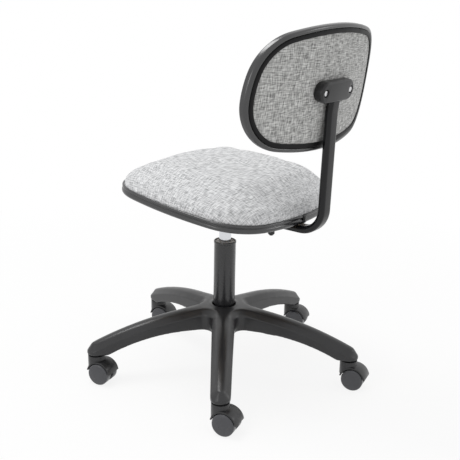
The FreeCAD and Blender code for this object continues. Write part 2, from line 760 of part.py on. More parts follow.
def make_seat():
    """Moulded board in a beaded edge trim, with a crowned cushion on it."""
    trim = new_body("seat_trim", SEAT_PLACE, SEAT_TILT)
    wall = new_sketch(trim, "XY_Plane", "seat_trim_wall")
    add_soft_outline(wall, "seat", "front", "rear")
    add_soft_outline(wall, "seat", "front", "rear", "trim_wall")
    pad(trim, wall, "trim_height")
    lip = new_sketch(trim, "XY_Plane", "seat_trim_lip")
    add_soft_outline(lip, "seat", "front", "rear", "trim_wall / 2")
    add_soft_outline(lip, "seat", "front", "rear", "trim_lip")
    pad(trim, lip, "trim_lip_thick")
    groove = new_sketch(trim, "XY_Plane", "seat_trim_groove", "trim_groove_at")
    add_soft_outline(groove, "seat", "front", "rear", "-trim_groove")
    add_soft_outline(groove, "seat", "front", "rear", "trim_groove")
    pocket(trim, groove, "trim_groove_width", forward=True)

    def bead(edge):
        """Outer edges at the top and bottom of the wall."""
        middle = mid_point(edge)
        level = min(abs(middle.z), abs(middle.z - num("trim_height")))
        return level < 0.01 and on_soft_outline(middle, "seat", "front", "rear")

    bevel(trim, "trim_round", bead)
    keep(trim)
    board = new_body("seat_board", SEAT_PLACE, SEAT_TILT)
    plan = new_sketch(board, "XY_Plane", "seat_board_plan", BOARD_LOW)
    add_soft_outline(plan, "seat", "front", "rear", "trim_wall + seat_gap")
    pad(board, plan, "board_thick")
    holes = new_sketch(board, "XY_Plane", "seat_board_holes")
    for x, y in SEAT_BOLTS:
        add_circle(holes, x, y, "insert_radius + fit_gap")
    pocket(board, holes, both_sides=True)
    keep(board)
    make_seat_cushion()


def on_soft_outline(point, name, low, high):
    """Whether a point seen in plan lies on the outline itself."""
    for (centre, radius), start, stop in soft_arcs(name, low, high):
        ray = Vector(point.x, point.y, 0) - centre
        if abs(ray.Length - radius) < 0.05:
            return True
    return False


def make_seat_cushion():
    """Cushion lofted upwards: drawn in at the trim, fullest just above it, crowned on top."""
    body = new_body("seat_cushion", SEAT_PLACE, SEAT_TILT)
    floor = f"({BOARD_HIGH} + soft_gap)"
    levels = (
        ("0", "trim_wall + soft_gap", "1"),
        ("0.13 * cushion_rise", "trim_wall + soft_gap", "1"),
        ("0.24 * cushion_rise", "trim_wall - 1", "1"),
        ("0.44 * cushion_rise", "trim_wall + 7", "1"),
        ("0.64 * cushion_rise", "trim_wall + 19", "1"),
        ("0.78 * cushion_rise", "trim_wall + 31", "1"),
        ("0.88 * cushion_rise", "trim_wall + 31", "0.93"),
        ("0.96 * cushion_rise", "trim_wall + 31", "0.83"),
        ("cushion_rise", "trim_wall + 31", "0.5"),
    )
    sections = []
    for place, (rise, inset, share) in enumerate(levels):
        section = new_sketch(body, "XY_Plane", f"seat_cushion_level_{place}", f"{floor} + {rise}")
        add_soft_outline(section, "seat", "front", "rear", inset, share)
        slope = f"cushion_wedge * ({rise}) / cushion_rise"
        tilt = Rotation(Vector(1, 0, 0), num(slope))
        section.AttachmentOffset = Placement(Vector(0, 0, num(f"{floor} + {rise}")), tilt)
        section.setExpression("AttachmentOffset.Rotation.Angle", bind(slope))
        sections.append(section)
    loft = body.newObject("PartDesign::AdditiveLoft", "seat_cushion_loft")
    loft.Profile = sections[0]
    loft.Sections = sections[1:]
    loft.Ruled = True
    keep(body)


def fixings(label, spots, frame, make_one):
    """Separate solids of one kind, each along Z of the frame at a spot (x, y)."""
    solids = []
    for number, (x, y) in enumerate(spots):
        solid = make_one(f"{label}_{number}")
        solid.setExpression("Placement.Base.x", bind(x))
        solid.setExpression("Placement.Base.y", bind(y))
        solids.append(solid)
    group = doc.addObject("Part::Compound", label)
    group.Links = solids
    place_in(group, frame)
    keep(group)


def make_bolts(label, spots, frame, head, head_low, head_height, end):
    """Hexagon bolts, heads at the low end."""
    def bolt(name):
        whole = doc.addObject("Part::Fuse", f"{name}_bolt")
        whole.Base = part_prism(f"{name}_head", head, head_low, head_height)
        whole.Tool = part_cylinder(f"{name}_shank", "bolt_radius", f"{head_low} + {head_height} / 2",
                                   f"{end} - {head_low} - {head_height} / 2")
        return whole

    fixings(label, spots, frame, bolt)


def make_inserts(label, spots, frame, low, high):
    """Threaded sleeves set in a board."""
    def insert(name):
        sleeve = doc.addObject("Part::Cut", f"{name}_insert")
        sleeve.Base = part_cylinder(f"{name}_sleeve", "insert_radius", low, f"{high} - {low}")
        length = f"{high} - {low} + 2"
        sleeve.Tool = part_cylinder(f"{name}_bore", "bolt_radius + fit_gap", f"{low} - 1", length)
        return sleeve

    fixings(label, spots, frame, insert)


def place_in(feature, frame):
    """Puts a feature in a tilted frame given as place, axis and angle."""
    place, (axis, angle) = frame
    feature.Placement = Placement(Vector(0, 0, 0), Rotation(axis, num(angle)))
    feature.setExpression("Placement.Rotation.Angle", bind(angle))
    for letter, expression in zip("xyz", place):
        if expression != "0":
            feature.setExpression(f"Placement.Base.{letter}", bind(expression))


def part_cylinder(name, radius, low, height):
    feature = doc.addObject("Part::Cylinder", name)
    feature.setExpression("Radius", bind(radius))
    feature.setExpression("Height", bind(height))
    feature.setExpression("Placement.Base.z", bind(low))
    return feature


def part_prism(name, radius, low, height):
    feature = doc.addObject("Part::Prism", name)
    feature.Polygon = 6
    feature.setExpression("Circumradius", bind(radius))
    feature.setExpression("Height", bind(height))
    feature.setExpression("Placement.Base.z", bind(low))
    return feature


def make_seat_fixing():
    """Steel plate under the board, with the bolts and threaded inserts that hold it."""
    plate = new_body("seat_plate", SEAT_PLACE, SEAT_TILT)
    plan = new_sketch(plate, "XY_Plane", "seat_plate_plan", PLATE_HIGH)
    half = "plate_width / 2"
    inner = f"({half} - plate_corner)"
    front, rear = "(-plate_front)", "plate_rear"
    add_outline(plan, [
        (f"-{inner}", front), (inner, front, "plate_corner", 1),
        (half, f"{front} + plate_corner"), (half, f"{rear} - plate_corner", "plate_corner", 1),
        (inner, rear), (f"-{inner}", rear, "plate_corner", 1),
        (f"-({half})", f"{rear} - plate_corner"),
        (f"-({half})", f"{front} + plate_corner", "plate_corner", 1),
    ])
    for x, y in SEAT_BOLTS:
        add_circle(plan, x, y, "bolt_radius + seat_gap")
    pad(plate, plan, "plate_thick", downward=True)
    keep(plate)
    frame = (SEAT_PLACE, SEAT_TILT)
    head_low = f"({PLATE_HIGH} - plate_thick - fit_gap - bolt_head_height)"
    make_bolts("seat_bolts", SEAT_BOLTS, frame, "bolt_head", head_low,
               "bolt_head_height", f"({BOARD_HIGH} - 1)")
    make_inserts("seat_inserts", SEAT_BOLTS, frame, f"({BOARD_LOW} + 1)", f"({BOARD_HIGH} - 0.5)")


TRAY_FLOOR = "(bar_run - bar_thick / 2 - socket_gap - socket_wall - seat_gap - tray_wall)"
LEVER_LEVEL = "(lift_top + pin_rise + seat_gap + lever_radius)"


def make_mechanism():
    """Pressed tray with the taper socket for the lift, the lever and the back bar's sleeve."""
    make_tray()
    top_share = "(lift_top - 2 - lift_shoulder) / (lift_top - lift_shoulder)"
    low_share = "(cone_bottom - lift_shoulder) / (lift_top - lift_shoulder)"
    keep(turned("lift_cone", [
        (f"lift_radius - lift_taper * {low_share} + fit_gap", "cone_bottom"),
        ("cone_radius", "cone_bottom"), ("cone_radius", "lift_top - 2"),
        (f"lift_radius - lift_taper * {top_share} + fit_gap", "lift_top - 2"),
    ]))
    make_lever()
    make_bar_socket()
    make_knob()


def make_tray():
    """Channel open upwards and to the rear, with two ears for the lever's pin."""
    body = new_body("mechanism_tray")
    front, rear = "(-tray_front)", "tray_rear"
    outside = new_sketch(body, "YZ_Plane", "tray_outside")
    add_outline(outside, [
        (front, TRAY_FLOOR), (rear, TRAY_FLOOR),
        (rear, f"{under_plate(rear)} - fit_gap"), (front, f"{under_plate(front)} - fit_gap"),
    ])
    pad(body, outside, "tray_width", both_sides=True)
    inside = new_sketch(body, "YZ_Plane", "tray_inside")
    floor = f"{TRAY_FLOOR} + tray_wall"
    add_outline(inside, [
        (f"{front} + tray_wall", floor), (f"{rear} + 1", floor),
        (f"{rear} + 1", f"{under_plate(rear)} + 9"), (f"{front} + tray_wall", f"{under_plate(front)} + 9"),
    ])
    pocket(body, inside, "tray_width - 2 * tray_wall", both_sides=True)
    for side in ("", "-"):
        ear = new_sketch(body, "XZ_Plane", f"tray_ear_{len(side)}", f"{side}ear_at")
        add_box(ear, "-lever_pivot - ear_rise", f"{TRAY_FLOOR} + tray_wall / 2",
                "-lever_pivot + ear_rise", f"{LEVER_LEVEL} + ear_rise")
        add_circle(ear, "-lever_pivot", LEVER_LEVEL, "pivot_radius + fit_gap")
        pad(body, ear, "tray_wall", downward=side == "-")
    holes = new_sketch(body, "XY_Plane", "tray_holes", f"{TRAY_FLOOR} + tray_wall / 2")
    add_circle(holes, "0", "0", "cone_radius + fit_gap")
    add_circle(holes, "0", "knob_at", "screw_radius + seat_gap")
    pocket(body, holes, "tray_wall * 2", both_sides=True)
    slot = new_sketch(body, "YZ_Plane", "tray_lever_slot", "-tray_width / 2")
    add_box(slot, "-lever_radius - 1", f"{LEVER_LEVEL} - lever_slot", "lever_radius + 1",
            f"{LEVER_LEVEL} + 2 * lever_slot")
    pocket(body, slot, "3 * tray_wall", both_sides=True)
    keep(body)


def make_lever():
    """Bent rod over the valve pin, its pivot, and a flat grip under the seat's right edge."""
    rod = new_body("release_lever")
    spine = new_sketch(rod, "XZ_Plane", "lever_spine")
    low = f"({LEVER_LEVEL} - lever_drop)"
    add_bent_path(spine, [
        ("lever_inner", LEVER_LEVEL), ("-lever_shoulder", LEVER_LEVEL),
        ("-lever_foot", low), ("-(lever_reach - grip_length + grip_grasp)", low),
    ], "lever_bend")
    section = new_sketch(rod, "YZ_Plane", "lever_section", "lever_inner")
    add_circle(section, "0", LEVER_LEVEL, "lever_radius")
    pipe = rod.newObject("PartDesign::AdditivePipe", "lever_pipe")
    pipe.Profile = section
    pipe.Spine = spine
    pivot_hole = new_sketch(rod, "XZ_Plane", "lever_pivot_hole")
    add_circle(pivot_hole, "-lever_pivot", LEVER_LEVEL, "pivot_radius + fit_gap")
    pocket(rod, pivot_hole, both_sides=True)
    keep(rod)
    pivot = new_body("lever_pivot_pin", ("-lever_pivot", "0", LEVER_LEVEL), (Vector(1, 0, 0), "90"))
    plan = new_sketch(pivot, "XY_Plane", "pivot_plan")
    add_circle(plan, "0", "0", "pivot_radius")
    pad(pivot, plan, "2 * (ear_at + tray_wall) + 2", both_sides=True)
    keep(pivot)
    grip = new_body("lever_grip")
    blade = new_sketch(grip, "XY_Plane", "grip_plan", low)
    start, end = "-(lever_reach - grip_length)", "-lever_reach"
    wide = "grip_width / 2"
    neck = "grip_width / 2 - 5"
    bow = "grip_length"
    add_outline(blade, [
        (start, neck, bow, -1), (f"{end} + {wide}", wide, wide, 1), (end, "0", wide, 1),
        (f"{end} + {wide}", f"-({wide})", bow, -1), (start, f"-({neck})"),
    ])
    pad(grip, blade, "grip_thick", both_sides=True)
    bore = new_sketch(grip, "YZ_Plane", "grip_bore", f"{start} + 1")
    add_circle(bore, "0", low, "lever_radius + fit_gap")
    pocket(grip, bore, "grip_grasp + 2")
    keep(grip)


def add_bent_path(sketch, points, radius):
    """Straight runs between points, each corner rounded with one radius."""
    spots = [Vector(num(x), num(y), 0) for x, y in points]
    bend = num(radius)
    arcs = []
    for before, here, after in zip(spots, spots[1:], spots[2:]):
        inward = (before - here).normalize()
        outward = (after - here).normalize()
        turn = math.pi - inward.getAngle(outward)
        cut = bend * math.tan(turn / 2)
        side = 1 if (here - before).cross(after - here).z > 0 else -1
        arc = (here + inward * cut, here + outward * cut, side)
        arcs.append(arc)
    ends = []
    for place, (start, stop, side) in enumerate(arcs):
        run_start = spots[0] if place == 0 else arcs[place - 1][1]
        line = sketch.addGeometry(Part.LineSegment(run_start, start), False)
        curve = sketch.addGeometry(arc_between(start, stop, bend, side), False)
        ends += [(line, 1, 2), (curve, 1, 2) if side > 0 else (curve, 2, 1)]
        fix_size(sketch, Sketcher.Constraint("Radius", curve, bend), radius)
    line = sketch.addGeometry(Part.LineSegment(arcs[-1][1], spots[-1]), False)
    ends.append((line, 1, 2))
    for before, here in zip(ends, ends[1:]):
        sketch.addConstraint(Sketcher.Constraint("Tangent", before[0], before[2], here[0], here[1]))
    fix_point(sketch, ends[0][0], 1, *points[0])
    fix_point(sketch, ends[-1][0], 2, *points[-1])
    runs = ends[::2]
    for place, (x, y) in enumerate(points[1:-1], start=1):
        corner = sketch.addGeometry(Part.Point(spots[place]), True)
        fix_point(sketch, corner, 1, x, y)
        sketch.addConstraint(Sketcher.Constraint("PointOnObject", corner, 1, runs[place - 1][0]))
        sketch.addConstraint(Sketcher.Constraint("PointOnObject", corner, 1, runs[place][0]))


def make_bar_socket():
    """Flat-oval sleeve in the tray's rear end, which the back bar slides in."""
    body = new_body("bar_socket")
    wide = "(bar_width + 2 * socket_gap)"
    thick = "(bar_thick + 2 * socket_gap)"
    section = new_sketch(body, "XZ_Plane", "socket_section", "-socket_rear")
    add_stadium(section, f"{wide} + 2 * socket_wall", f"{thick} + 2 * socket_wall", "bar_run")
    add_stadium(section, wide, thick, "bar_run")
    pad(body, section, "socket_rear - socket_front")
    screw = new_sketch(body, "XY_Plane", "socket_screw_hole", "bar_run")
    add_circle(screw, "0", "knob_at", "screw_radius + seat_gap")
    pocket(body, screw, "bar_thick")
    keep(body)


def make_knob():
    """Clamp screw with a round knob, under the sleeve."""
    top = f"({TRAY_FLOOR} - seat_gap)"
    tip = "(bar_run - bar_thick / 2 - socket_gap)"
    low = f"({top} - knob_height)"
    keep(turned("clamp_knob", [
        ("0", low), ("knob_radius - knob_round", low),
        ("knob_radius", f"{low} + knob_round"), ("knob_radius", f"{top} - 2"),
        ("knob_radius - 1.5", top), ("screw_radius", top), ("screw_radius", tip), ("0", tip),
    ], ("0", "knob_at", "0")))


BACK_TILT = (Vector(-1, 0, 0), "back_lean")
BACK_PLACE = ("0", "back_depth", "back_height")
BAR_OFF = "(bracket_plate + 2 * seat_gap + bar_thick / 2)"


def back_point(off, up):
    """Depth and height in the chair of a point of the backrest's middle plane."""
    return (f"back_depth + ({off}) * cos(back_lean) + ({up}) * sin(back_lean)",
            f"back_height - ({off}) * sin(back_lean) + ({up}) * cos(back_lean)")


def make_back_bar():
    """Flat-oval tube: level in its sleeve, bent upwards, and flat against the bracket plate."""
    body = new_body("back_bar")
    spine = new_sketch(body, "YZ_Plane", "bar_spine")
    seat_low = back_point(BAR_OFF, "-bar_seat_length")
    add_bent_path(spine, [
        ("bar_front", "bar_run"), ("bar_back", "bar_run"), seat_low, back_point(BAR_OFF, "bar_top"),
    ], "bar_bend")
    section = new_sketch(body, "XZ_Plane", "bar_section", "-bar_front")
    add_stadium(section, "bar_width", "bar_thick", "bar_run")
    add_stadium(section, "bar_width", "bar_thick", "bar_run", "bar_wall")
    pipe = body.newObject("PartDesign::AdditivePipe", "bar_pipe")
    pipe.Profile = section
    pipe.Spine = spine
    keep(body)


def curved_plate(label, outlines, inner, outer):
    """A plate bent to the backrest's curve: outlines seen from behind, between two radii."""
    body = new_body(label, BACK_PLACE, BACK_TILT)
    face = new_sketch(body, "XZ_Plane", f"{label}_face")
    for draw in outlines:
        draw(face)
    deep = "(back_half / 2 + back_cushion_thick)"
    pad(body, face, f"2 * {deep}", both_sides=True)
    wide = "(back_half + back_trim_wall)"
    for side, radius, limit in (("rear", outer, deep), ("front", inner, f"-{deep}")):
        level = f"(sqrt(({radius})^2 - {wide}^2) - back_curve)"
        beyond = f"1.2 * {limit}"
        bow = new_sketch(body, "XY_Plane", f"{label}_{side}")
        arc = [(f"-{wide}", level, radius, -1), (wide, level)]
        add_outline(bow, arc + [(wide, beyond), (f"-{wide}", beyond)])
        pocket(body, bow, both_sides=True)
    return body


def back_outline(inset):
    return lambda sketch: add_soft_outline(sketch, "back", "low", "high", inset)


PANEL_IN = "(back_curve - panel_thick)"
BOARD_OUT = "(back_curve - panel_thick - soft_gap)"
BOARD_IN = "(back_curve - panel_thick - soft_gap - back_board_thick)"
CUSHION_OUT = "(back_curve - panel_thick - back_board_thick - 2 * soft_gap)"
BACK_BOLTS = [("bracket_bolt_x", "0"), ("-bracket_bolt_x", "0")]


def drill_back(body, name, radius):
    """Two holes through a plate of the backrest, for the bracket's bolts."""
    holes = new_sketch(body, "XZ_Plane", f"{name}_holes")
    for x, z in BACK_BOLTS:
        add_circle(holes, x, z, radius)
    pocket(body, holes, both_sides=True)


def make_backrest():
    """Rear panel, moulded board, trim round their edge, and the cushion in front."""
    edge = "back_trim_wall + soft_gap"
    panel = curved_plate("back_panel", [back_outline(edge)], PANEL_IN, "back_curve")
    drill_back(panel, "back_panel", "bolt_radius + seat_gap")
    keep(panel)
    board = curved_plate("back_board", [back_outline(edge)], BOARD_IN, BOARD_OUT)
    drill_back(board, "back_board", "insert_radius + fit_gap")
    keep(board)
    make_back_trim()
    make_back_cushion()


BOLT_SAG = "(back_curve - sqrt(back_curve^2 - bracket_bolt_x^2))"
INSERT_LOW = f"({BOLT_SAG} + panel_thick + soft_gap + 2)"
INSERT_HIGH = f"({BOLT_SAG} + panel_thick + soft_gap + back_board_thick - 2)"


def make_back_trim():
    """Channel round the backrest's edge: an outer bead, an inner bead, and a lip on each face."""
    front, rear = "(back_curve - back_trim_front)", "(back_curve + back_trim_rear)"
    lap = "(back_trim_wall - back_step)"
    outer = curved_plate("trim_outer_bead", [back_outline("0"), back_outline(lap)],
                         f"({front} + back_bead)", f"({rear} - back_bead)")
    inner = curved_plate("trim_inner_bead", [back_outline("back_bead"), back_outline("back_trim_wall")],
                         front, rear)
    lip = curved_plate("trim_rear_lip", [back_outline(lap), back_outline("back_lip")],
                       "(back_curve + soft_gap)", f"({rear} - back_step / 2)")
    front_lip = curved_plate("trim_front_lip", [back_outline(lap), back_outline("back_front_lip")],
                             f"({front} + back_step / 2)", f"({front} + back_front_lip_thick)")
    trim = doc.addObject("Part::MultiFuse", "back_trim")
    trim.Shapes = [outer, inner, lip, front_lip]
    keep(trim)


def outline_heights(reach, inset):
    """Lowest and highest point of the drawn-in backrest outline at a distance from its middle."""
    found = []
    for (centre, radius), start, stop in soft_arcs("back", "low", "high"):
        drawn = radius - inset
        across = reach - centre.x
        if abs(across) >= drawn:
            continue
        for sign in (1, -1):
            angle = math.atan2(sign * math.sqrt(drawn ** 2 - across ** 2), across)
            for turn in (0, 2 * math.pi, -2 * math.pi):
                if start - 1e-6 <= angle + turn <= stop + 1e-6:
                    found.append(centre.y + drawn * math.sin(angle))
    return min(found), max(found)


def make_back_cushion():
    """Cushion lofted across the back: each upright section has a straight rear and a crowned front."""
    outer = num(CUSHION_OUT)
    inset = num("back_front_lip + 2")
    end_reach = num("back_half") - inset - num("back_bead")
    thick, edge = num("back_cushion_thick"), num("back_cushion_edge")
    wires = []
    for share in (-1, -0.97, -0.9, -0.75, -0.4, 0, 0.4, 0.75, 0.9, 0.97, 1):
        reach = end_reach * share
        low, high = outline_heights(abs(reach), inset)
        crown = edge + (thick - edge) * (1 - abs(share) ** 3)
        angle = math.asin(reach / outer)

        def spot(depth, height):
            radius = outer - depth
            return Vector(radius * math.sin(angle), radius * math.cos(angle) - num("back_curve"), height)

        middle = (low + high) / 2
        crown = max(crown, edge + 1)
        corners = spot(0, low), spot(0, high), spot(edge, high), spot(edge, low)
        front = Part.Arc(corners[2], spot(crown, middle), corners[3]).toShape()
        sides = [Part.makeLine(corners[0], corners[1]), Part.makeLine(corners[1], corners[2]),
                 front, Part.makeLine(corners[3], corners[0])]
        wires.append(Part.Wire(sides))
    cushion = doc.addObject("Part::Feature", "back_cushion")
    cushion.Label = "back_cushion"
    cushion.Shape = Part.makeLoft(wires, True, True)
    place_in(cushion, (BACK_PLACE, BACK_TILT))
    keep(cushion)


def make_bracket():
    """Plate on the panel, the bar's end behind it, and a rounded cover with two sunk bolts."""
    plate_in = "(back_curve + seat_gap)"
    cover_in = f"({plate_in} + bracket_plate + seat_gap)"
    cover_out = "(back_curve + bracket_plate + 2 * seat_gap + bar_thick + bracket_wall)"

    def stadium(inset):
        return lambda sketch: add_stadium(sketch, "bracket_width", "bracket_height", "0", inset)

    plate = curved_plate("bracket_plate", [stadium("1")], plate_in, f"({plate_in} + bracket_plate)")
    drill_back(plate, "bracket_plate", "bolt_radius + seat_gap")
    keep(plate)
    cover = curved_plate("bracket_cover", [stadium("0")], cover_in, cover_out)
    bevel(cover, "bracket_round", lambda edge: is_cover_rim(edge, num(cover_out)))
    channel = new_sketch(cover, "XY_Plane", "bracket_channel", "bar_top + socket_gap")
    half = "bar_width / 2 + socket_gap"
    add_box(channel, f"-({half})", "-bracket_plate", half, f"{BAR_OFF} + bar_thick / 2 + socket_gap")
    pocket(cover, channel)
    recess = new_sketch(cover, "XZ_Plane", "bracket_recess", "-bracket_recess_floor")
    for x, z in BACK_BOLTS:
        add_circle(recess, x, z, "bracket_recess")
    pocket(cover, recess)
    drill_back(cover, "bracket_cover", "bolt_radius + seat_gap")
    keep(cover)
    frame = (BACK_PLACE, (Vector(1, 0, 0), "90 - back_lean"))
    head_low = "(-bracket_recess_floor - fit_gap - bracket_bolt_height)"
    make_bolts("bracket_bolts", BACK_BOLTS, frame, "bracket_bolt_head", head_low,
               "bracket_bolt_height", INSERT_HIGH)
    make_inserts("back_inserts", BACK_BOLTS, frame, INSERT_LOW, INSERT_HIGH)


def is_cover_rim(edge, radius):
    """Edges of the cover's rear face."""
    middle = mid_point(edge)
    reach = math.hypot(middle.x, middle.y + num("back_curve"))
    ends = [math.hypot(v.X, v.Y + num("back_curve")) for v in edge.Vertexes]
    return abs(reach - radius) < 0.05 and all(abs(end - radius) < 0.05 for end in ends)


make_star_base()
for caster in range(int(num("arm_count"))):
    make_caster(caster)
make_gas_lift()
make_seat()
make_seat_fixing()
make_mechanism()
make_back_bar()
make_backrest()
make_bracket()
doc.recompute()



def cuts_nothing(item):
    """A pocket that leaves the solid before it as it was."""
    if item.TypeId != "PartDesign::Pocket":
        return False
    return item.BaseFeature.Shape.Volume - item.Shape.Volume < SLIVER


SLIVER = 0.05
faults = [item.Name for item in doc.Objects if {"Invalid", "Error"} & set(item.State)]
faults += [item.Name for item in doc.Objects if cuts_nothing(item)]
faults += [item.Name for item in nodes if item.Shape.isNull() or not item.Shape.isValid()]
if faults:
    raise RuntimeError(f"failed objects: {faults}")
os.makedirs("parts", exist_ok=True)
for item in nodes:
    item.Shape.exportStep(f"parts/{item.Label}.step")
print(f"{len(nodes)} nodes written")
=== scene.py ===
import json
import math

import bmesh
import bpy
from mathutils import Matrix, Vector
from mathutils.bvhtree import BVHTree
from mathutils.geometry import convex_hull_2d


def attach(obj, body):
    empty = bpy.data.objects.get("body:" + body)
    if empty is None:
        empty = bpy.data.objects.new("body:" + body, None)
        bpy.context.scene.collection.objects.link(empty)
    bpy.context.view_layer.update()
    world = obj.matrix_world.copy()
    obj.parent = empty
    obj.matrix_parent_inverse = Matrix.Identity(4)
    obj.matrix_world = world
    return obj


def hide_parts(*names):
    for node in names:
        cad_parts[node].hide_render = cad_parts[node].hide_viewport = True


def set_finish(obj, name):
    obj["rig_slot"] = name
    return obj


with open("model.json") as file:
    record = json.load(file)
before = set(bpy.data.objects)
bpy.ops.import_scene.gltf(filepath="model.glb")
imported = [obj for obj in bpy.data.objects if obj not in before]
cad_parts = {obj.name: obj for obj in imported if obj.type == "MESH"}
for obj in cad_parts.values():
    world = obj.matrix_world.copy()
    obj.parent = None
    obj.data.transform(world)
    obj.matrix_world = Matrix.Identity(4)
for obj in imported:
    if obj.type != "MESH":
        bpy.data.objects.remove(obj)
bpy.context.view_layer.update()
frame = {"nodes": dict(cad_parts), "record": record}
nodes = frame["nodes"]

MM = 0.001
SAME_PLACE = 1e-5

# Angles in degrees and lengths in metres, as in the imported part.
SEAT_TILT = 6
SEAT_HEIGHT = 0.4188
SEAT_CROWN = 0.06
BACK_LEAN = 8
BACK_PLACE = Vector((0, 0.260, 0.6845))
BACK_CURVE = 0.550

# The pads: held below this height on the seat, and behind this depth on the backrest.
SEAT_HELD = 0.0215
BACK_HELD = -0.0145
SEAT_FILL = 0.005
SEAT_SWELL = 0.006
BACK_SWELL = 0.008
PAD_VOXEL = 0.005
PAD_PRESSURE = 6
PAD_FRAMES = 20
PAD_CLEARANCE = 0.5

# The base: the arms' tops fall away, and the hidden walls are thickened before the smoothing.
BASE_VOXEL = 0.0016
BASE_SMOOTHING = 24
BASE_WALL = 0.0025

# The edges of the rigid nodes.
EDGE_WIDTH = 0.0005
SHARP_ANGLE = 35

# The cloth: noise scale and length of the long slubs and of the fine weave, and the slubs' share.
SLUB_SCALE, SLUB_LENGTH = 450, 8
FINE_SCALE, FINE_LENGTH = 1100, 6
SLUB_SHARE, FINE_SHARE = 0.8, 0.2
WAY_OFFSET = 5.3

CAMERA_AZIMUTH = 128
CAMERA_DISTANCE = 1.8194
CAMERA_HEIGHT = 0.9062
CAMERA_YAW = 0.34
CAMERA_PITCH = -17.32
CAMERA_ROLL = 1.11
CAMERA_LENS = 65.17


# Shapes

def tilted(angle, place):
    """Frame of the seat or the backrest: turned about X so that its rear or top goes back."""
    return Matrix.Translation(place) @ Matrix.Rotation(math.radians(-angle), 4, "X")


SEAT_FRAME = tilted(SEAT_TILT, Vector((0, 0, SEAT_HEIGHT)))
BACK_FRAME = tilted(BACK_LEAN, BACK_PLACE)


def new_object(name, mesh, body, slot):
    piece = bpy.data.objects.new(name, mesh)
    bpy.context.scene.collection.objects.link(piece)
    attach(piece, body)
    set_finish(piece, slot)
    return piece


def cad_copy(source, name):
    """A welded copy of a node's mesh, to be shaped further."""
    mesh = nodes[source].data.copy()
    mesh.name = name
    work = bmesh.new()
    work.from_mesh(mesh)
    bmesh.ops.remove_doubles(work, verts=work.verts, dist=SAME_PLACE)
    work.to_mesh(mesh)
    work.free()
    mesh.materials.clear()
    return mesh


def settle(piece):
    """Turns the modifiers of a piece into plain geometry."""
    graph = bpy.context.evaluated_depsgraph_get()
    mesh = bpy.data.meshes.new_from_object(piece.evaluated_get(graph))
    piece.modifiers.clear()
    piece.data = mesh


def shade_smooth(mesh):
    mesh.polygons.foreach_set("use_smooth", [True] * len(mesh.polygons))
    mesh.update()


def thicken_inside(mesh, depth):
    """Draws the walls of a hollow underside inwards, so that rounding the outside doesn't break through."""
    work = bmesh.new()
    work.from_mesh(mesh)
    work.normal_update()
    tree = BVHTree.FromBMesh(work)
    ways = [Vector(way) for way in ((0, 0, 1), (1, 0, 0), (-1, 0, 0), (0, 1, 0), (0, -1, 0))]
    reach, lift = 0.15, 0.0006
    inside = []
    for vertex in work.verts:
        start = vertex.co + vertex.normal * lift
        if all(tree.ray_cast(start, way, reach)[0] for way in ways):
            inside.append(vertex)
    moves = [vertex.normal * (depth * min(vertex.calc_shell_factor(), 2)) for vertex in inside]
    for vertex, move in zip(inside, moves):
        vertex.co += move
    work.to_mesh(mesh)
    work.free()


def crown_arms(mesh):
    """Rounds the flat tops of the arms: the upper faces fall away on both sides of an arm's middle."""
    fall, flat, hub, clear = 0.0026, 0.011, 0.05, 0.05
    joints = frame["record"]["behaviour"]["joints"]
    swivels = [joint for joint in joints if joint["name"].startswith("caster_swivel")]
    arms = [Vector(joint["pos_m"]).to_2d().normalized() for joint in swivels]
    facing_up = [vertex.normal.z > 0.2 for vertex in mesh.vertices]
    points = [vertex.co.copy() for vertex in mesh.vertices]
    for point, upper in zip(points, facing_up):
        place = point.to_2d()
        if not upper or place.length < hub:
            continue
        arm = max(arms, key=place.dot)
        aside = abs(arm.cross(place))
        fade = min(1, (place.length - hub) / clear)
        point.z -= fall * fade * min(1, (aside / flat) ** 2)
    mesh.vertices.foreach_set("co", [value for point in points for value in point])
    mesh.update()


def make_base():
    """The star base with softly rounded arms, as a moulding has."""
    mesh = cad_copy("star_base", "base_moulding")
    thicken_inside(mesh, BASE_WALL)
    piece = new_object("base_moulding", mesh, "base", "grey_nylon")
    remesh = piece.modifiers.new("voxels", "REMESH")
    remesh.mode = "VOXEL"
    remesh.voxel_size = BASE_VOXEL
    settle(piece)
    crown_arms(piece.data)
    relax = piece.modifiers.new("relax", "SMOOTH")
    relax.factor = 0.5
    relax.iterations = BASE_SMOOTHING
    settle(piece)
    shade_smooth(piece.data)
    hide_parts("star_base")
    return piece


def outline_of(source, to_local, first, second, count):
    """Outline of a node seen along one axis of a frame: evenly spaced points and outward normals."""
    flat = [to_local @ v.co for v in nodes[source].data.vertices]
    flat = [Vector((p[first], p[second])) for p in flat]
    hull = [flat[i] for i in convex_hull_2d(flat)]
    lengths = [(b - a).length for a, b in zip(hull, hull[1:] + hull[:1])]
    step = sum(lengths) / count
    points = []
    edge, used = 0, 0.0
    for place in range(count):
        target = place * step
        while used + lengths[edge] < target:
            used += lengths[edge]
            edge += 1
        share = (target - used) / lengths[edge]
        points.append(hull[edge].lerp(hull[(edge + 1) % len(hull)], share))
    area = sum(a.x * b.y - a.y * b.x for a, b in zip(points, points[1:] + points[:1]))
    if area < 0:
        points.reverse()
    for _ in range(3):
        before, after = points[-1:] + points[:-1], points[1:] + points[:1]
        points = [(a + b * 2 + c) / 4 for a, b, c in zip(before, points, after)]
    normals = []
    for before, after in zip(points[-1:] + points[:-1], points[1:] + points[:1]):
        run = (after - before).normalized()
        normals.append(Vector((run.y, -run.x)))
    return points, normals


def arc_points(centre, radius, start, stop, count):
    angles = [math.radians(start + (stop - start) * i / (count - 1)) for i in range(count)]
    return [(centre[0] + radius * math.cos(a), centre[1] + radius * math.sin(a)) for a in angles]


